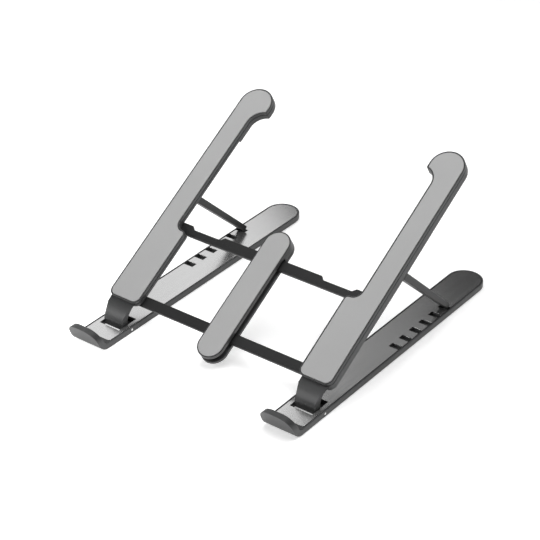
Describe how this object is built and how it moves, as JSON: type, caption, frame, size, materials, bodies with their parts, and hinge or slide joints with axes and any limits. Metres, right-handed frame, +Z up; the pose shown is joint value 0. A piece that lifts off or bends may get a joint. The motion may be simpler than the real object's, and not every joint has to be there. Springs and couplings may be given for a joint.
{
  "type": "laptop stand",
  "caption": "Folding laptop stand: two hooked arms on slotted floor rails, held apart by a centre bar and cross links and propped on struts.",
  "frame": {"origin": "middle of the footprint of the open stand, on the table", "axes": "+X to the user's right, +Y from the lips to the rear of the rails, +Z up"},
  "size_m": [0.2046, 0.2602, 0.1259],
  "materials": {
    "shell": "fine satin moulded nylon, dark grey",
    "link": "satin, near black",
    "silicone_pad": "flat matte light grey silicone",
    "metal_inlay": "satin, faintly brushed along its length",
    "steel": "bright turned",
    "foot_rubber": "matte black"
  },
  "bodies": {
    "centre": {"bar_top_shell": "shell", "bar_bottom_shell": "shell", "bar_pad": "silicone_pad", "right_bar_front_rivet": "steel", "left_bar_front_rivet": "steel", "right_bar_rear_rivet": "steel", "left_bar_rear_rivet": "steel", "bar_front_screw": "steel", "bar_rear_screw": "steel"},
    "right_arm": {"right_arm_cover": "shell", "right_arm_frame": "shell", "right_arm_pad": "silicone_pad", "right_front_link_rivet": "steel", "right_rear_link_rivet": "steel", "right_arm_front_screw": "steel", "right_arm_rear_screw": "steel", "right_strut_pin": "steel"},
    "right_rail": {"right_rail_body": "shell", "right_rail_plate": "metal_inlay", "right_front_foot": "foot_rubber", "right_rear_foot": "foot_rubber", "right_hinge_pin": "steel"},
    "right_front_link": {"right_front_link": "link"},
    "right_rear_link": {"right_rear_link": "link"},
    "right_strut": {"right_strut": "link"},
    "left_arm": {"left_arm_cover": "shell", "left_arm_frame": "shell", "left_arm_pad": "silicone_pad", "left_front_link_rivet": "steel", "left_rear_link_rivet": "steel", "left_arm_front_screw": "steel", "left_arm_rear_screw": "steel", "left_strut_pin": "steel"},
    "left_rail": {"left_rail_body": "shell", "left_rail_plate": "metal_inlay", "left_front_foot": "foot_rubber", "left_rear_foot": "foot_rubber", "left_hinge_pin": "steel"},
    "left_front_link": {"left_front_link": "link"},
    "left_rear_link": {"left_rear_link": "link"},
    "left_strut": {"left_strut": "link"}
  },
  "joints": [
    {"name": "right_fold", "type": "hinge", "parent": "centre", "child": "right_front_link", "pos_m": [0.0049, -0.07366, 0.01972], "axis": [0, -0.5075, 0.8616], "range_deg": [-79.7, 0]},
    {"name": "right_arm_pivot", "type": "hinge", "parent": "right_front_link", "child": "right_arm", "pos_m": [0.0927, -0.07366, 0.01972], "axis": [0, -0.5075, 0.8616], "range_deg": [0, 79.7]},
    {"name": "right_rear_link_pivot", "type": "hinge", "parent": "centre", "child": "right_rear_link", "pos_m": [0.0049, -0.01662, 0.05332], "axis": [0, -0.5075, 0.8616], "range_deg": [-79.7, 0]},
    {"name": "right_rail_fold", "type": "hinge", "parent": "right_arm", "child": "right_rail", "pos_m": [0.0881, -0.08839, 0.00275], "axis": [1, 0, 0], "range_deg": [-18, 30.5]},
    {"name": "right_strut_pivot", "type": "hinge", "parent": "right_arm", "child": "right_strut", "pos_m": [0.0965, 0.00733, 0.06783], "axis": [1, 0, 0], "range_deg": [-44, 74.5]},
    {"name": "left_fold", "type": "hinge", "parent": "centre", "child": "left_front_link", "pos_m": [-0.0049, -0.07366, 0.01972], "axis": [0, -0.5075, 0.8616], "range_deg": [0, 79.7]},
    {"name": "left_arm_pivot", "type": "hinge", "parent": "left_front_link", "child": "left_arm", "pos_m": [-0.0927, -0.07366, 0.01972], "axis": [0, -0.5075, 0.8616], "range_deg": [-79.7, 0]},
    {"name": "left_rear_link_pivot", "type": "hinge", "parent": "centre", "child": "left_rear_link", "pos_m": [-0.0049, -0.01662, 0.05332], "axis": [0, -0.5075, 0.8616], "range_deg": [0, 79.7]},
    {"name": "left_rail_fold", "type": "hinge", "parent": "left_arm", "child": "left_rail", "pos_m": [-0.0881, -0.08839, 0.00275], "axis": [1, 0, 0], "range_deg": [-18, 30.5]},
    {"name": "left_strut_pivot", "type": "hinge", "parent": "left_arm", "child": "left_strut", "pos_m": [-0.0965, 0.00733, 0.06783], "axis": [1, 0, 0], "range_deg": [-44, 74.5]}
  ],
  "couplings": [
    {"joint": "right_arm_pivot", "follows": "right_fold", "ratio": -1},
    {"joint": "right_rear_link_pivot", "follows": "right_fold", "ratio": 1},
    {"joint": "right_strut_pivot", "follows": "right_rail_fold", "ratio": 2.43},
    {"joint": "left_arm_pivot", "follows": "left_fold", "ratio": -1},
    {"joint": "left_rear_link_pivot", "follows": "left_fold", "ratio": 1},
    {"joint": "left_strut_pivot", "follows": "left_rail_fold", "ratio": 2.43}
  ]
}
